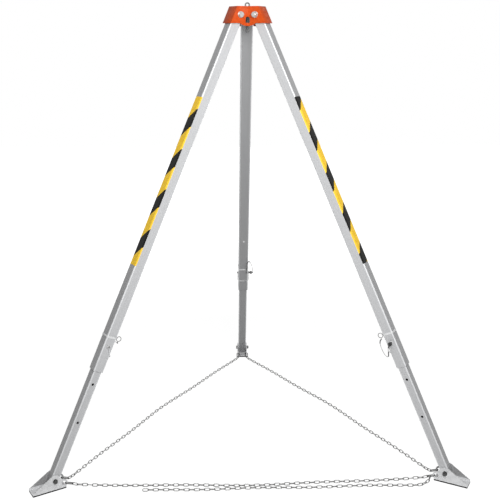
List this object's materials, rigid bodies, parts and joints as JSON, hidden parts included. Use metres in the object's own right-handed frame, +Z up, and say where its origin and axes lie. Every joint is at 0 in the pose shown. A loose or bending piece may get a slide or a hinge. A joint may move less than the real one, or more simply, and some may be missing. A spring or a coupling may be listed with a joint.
{
  "type": "rescue tripod",
  "caption": "Rescue tripod with a cast head, telescoping rectangular legs on hinged rubber-soled feet, lock pins on lanyards, and a floor chain round the feet.",
  "frame": {"origin": "floor level, middle of the footprint", "axes": "+Z up, +Y towards the rear leg, +X to the right of someone facing the rear leg"},
  "size_m": [2.1708, 1.88, 2.3056],
  "materials": {
    "head_red": "satin",
    "tube_alu": "satin",
    "foot_alu": "satin",
    "zinc": "bright",
    "chain_steel": "satin",
    "pin_dark": "satin",
    "nylon": "matte",
    "liner_grey": "matte",
    "sole_rubber": "matte",
    "rope_steel": "satin",
    "tape_yellow": "satin"
  },
  "bodies": {
    "head": {"head_casting": "head_red", "anchor_eye_bolt": "zinc", "top_eye_nut": "zinc", "leg_pivot_bolts": "zinc", "leg_pivot_nuts": "zinc", "chain_left": "chain_steel", "chain_front": "chain_steel", "chain_right": "chain_steel", "chain_tail": "chain_steel"},
    "rear_leg": {"rear_outer_tube": "tube_alu", "rear_pivot_bushes": "nylon", "rear_guide_liner": "liner_grey", "rear_strap_band": "zinc", "rear_band_ring": "zinc", "rear_pin_guide": "zinc", "rear_bracket_screw": "zinc", "rear_lanyard": "rope_steel"},
    "rear_extension": {"rear_inner_tube": "tube_alu", "rear_inner_glide": "nylon", "rear_ankle_bushes": "nylon"},
    "rear_foot": {"rear_foot_bracket": "foot_alu", "rear_foot_sole": "sole_rubber", "rear_ankle_bolt": "zinc", "rear_heel_links": "chain_steel"},
    "rear_pin": {"rear_lock_pin": "pin_dark"},
    "rear_bail": {"rear_pin_bail": "zinc"},
    "left_leg": {"left_outer_tube": "tube_alu", "left_pivot_bushes": "nylon", "left_guide_liner": "liner_grey", "left_strap_band": "zinc", "left_band_ring": "zinc", "left_pin_guide": "zinc", "left_bracket_screw": "zinc", "left_lanyard": "rope_steel"},
    "left_extension": {"left_inner_tube": "tube_alu", "left_inner_glide": "nylon", "left_ankle_bushes": "nylon"},
    "left_foot": {"left_foot_bracket": "foot_alu", "left_foot_sole": "sole_rubber", "left_ankle_bolt": "zinc", "left_heel_links": "chain_steel"},
    "left_pin": {"left_lock_pin": "pin_dark"},
    "left_bail": {"left_pin_bail": "zinc"},
    "right_leg": {"right_outer_tube": "tube_alu", "right_pivot_bushes": "nylon", "right_guide_liner": "liner_grey", "right_strap_band": "zinc", "right_band_ring": "zinc", "right_pin_guide": "zinc", "right_bracket_screw": "zinc", "right_lanyard": "rope_steel"},
    "right_extension": {"right_inner_tube": "tube_alu", "right_inner_glide": "nylon", "right_ankle_bushes": "nylon"},
    "right_foot": {"right_foot_bracket": "foot_alu", "right_foot_sole": "sole_rubber", "right_ankle_bolt": "zinc", "right_heel_links": "chain_steel"},
    "right_pin": {"right_lock_pin": "pin_dark"},
    "right_bail": {"right_pin_bail": "zinc"}
  },
  "joints": [
    {"name": "rear_fold", "type": "hinge", "parent": "head", "child": "rear_leg", "pos_m": [0, -0.23132, 2.2461], "axis": [-1, 0, 0], "range_deg": [0, 24.5], "deforming": ["chain_left", "chain_right"]},
    {"name": "rear_height", "type": "slide", "parent": "rear_leg", "child": "rear_extension", "axis": [0, 0.4344, -0.9007], "range_m": [-0.4, 0], "deforming": ["chain_left", "chain_right"]},
    {"name": "rear_foot_tilt", "type": "hinge", "parent": "rear_extension", "child": "rear_foot", "pos_m": [0, 0.82699, 0.052], "axis": [-1, 0, 0], "range_deg": [-30, 25], "deforming": ["chain_left", "chain_right"]},
    {"name": "rear_pin_push", "type": "slide", "parent": "rear_leg", "child": "rear_pin", "axis": [-1, 0, 0], "range_m": [0, 0.01], "deforming": ["rear_lanyard"]},
    {"name": "rear_bail_swing", "type": "hinge", "parent": "rear_leg", "child": "rear_bail", "pos_m": [0, 0.52114, 0.68609], "axis": [-1, 0, 0], "range_deg": [0, 74]},
    {"name": "left_fold", "type": "hinge", "parent": "head", "child": "left_leg", "pos_m": [-0.05543, -0.32732, 2.2461], "axis": [0.5, -0.866, 0], "range_deg": [0, 24.5], "deforming": ["chain_left", "chain_front"]},
    {"name": "left_height", "type": "slide", "parent": "left_leg", "child": "left_extension", "axis": [-0.3762, -0.2172, -0.9007], "range_m": [-0.4, 0], "deforming": ["chain_left", "chain_front"]},
    {"name": "left_foot_tilt", "type": "hinge", "parent": "left_extension", "child": "left_foot", "pos_m": [-0.97195, -0.85647, 0.052], "axis": [0.5, -0.866, 0], "range_deg": [-30, 25], "deforming": ["chain_left", "chain_front"]},
    {"name": "left_pin_push", "type": "slide", "parent": "left_leg", "child": "left_pin", "axis": [0.5, -0.866, 0], "range_m": [0, 0.01], "deforming": ["left_lanyard"]},
    {"name": "left_bail_swing", "type": "hinge", "parent": "left_leg", "child": "left_bail", "pos_m": [-0.70707, -0.70355, 0.68609], "axis": [0.5, -0.866, 0], "range_deg": [0, 74]},
    {"name": "right_fold", "type": "hinge", "parent": "head", "child": "right_leg", "pos_m": [0.05543, -0.32732, 2.2461], "axis": [0.5, 0.866, 0], "range_deg": [0, 24.5], "deforming": ["chain_front", "chain_right", "chain_tail"]},
    {"name": "right_height", "type": "slide", "parent": "right_leg", "child": "right_extension", "axis": [0.3762, -0.2172, -0.9007], "range_m": [-0.4, 0], "deforming": ["chain_front", "chain_right", "chain_tail"]},
    {"name": "right_foot_tilt", "type": "hinge", "parent": "right_extension", "child": "right_foot", "pos_m": [0.97195, -0.85647, 0.052], "axis": [0.5, 0.866, 0], "range_deg": [-30, 25], "deforming": ["chain_front", "chain_right", "chain_tail"]},
    {"name": "right_pin_push", "type": "slide", "parent": "right_leg", "child": "right_pin", "axis": [0.5, 0.866, 0], "range_m": [0, 0.01], "deforming": ["right_lanyard"]},
    {"name": "right_bail_swing", "type": "hinge", "parent": "right_leg", "child": "right_bail", "pos_m": [0.70707, -0.70355, 0.68609], "axis": [0.5, 0.866, 0], "range_deg": [0, 74]}
  ]
}
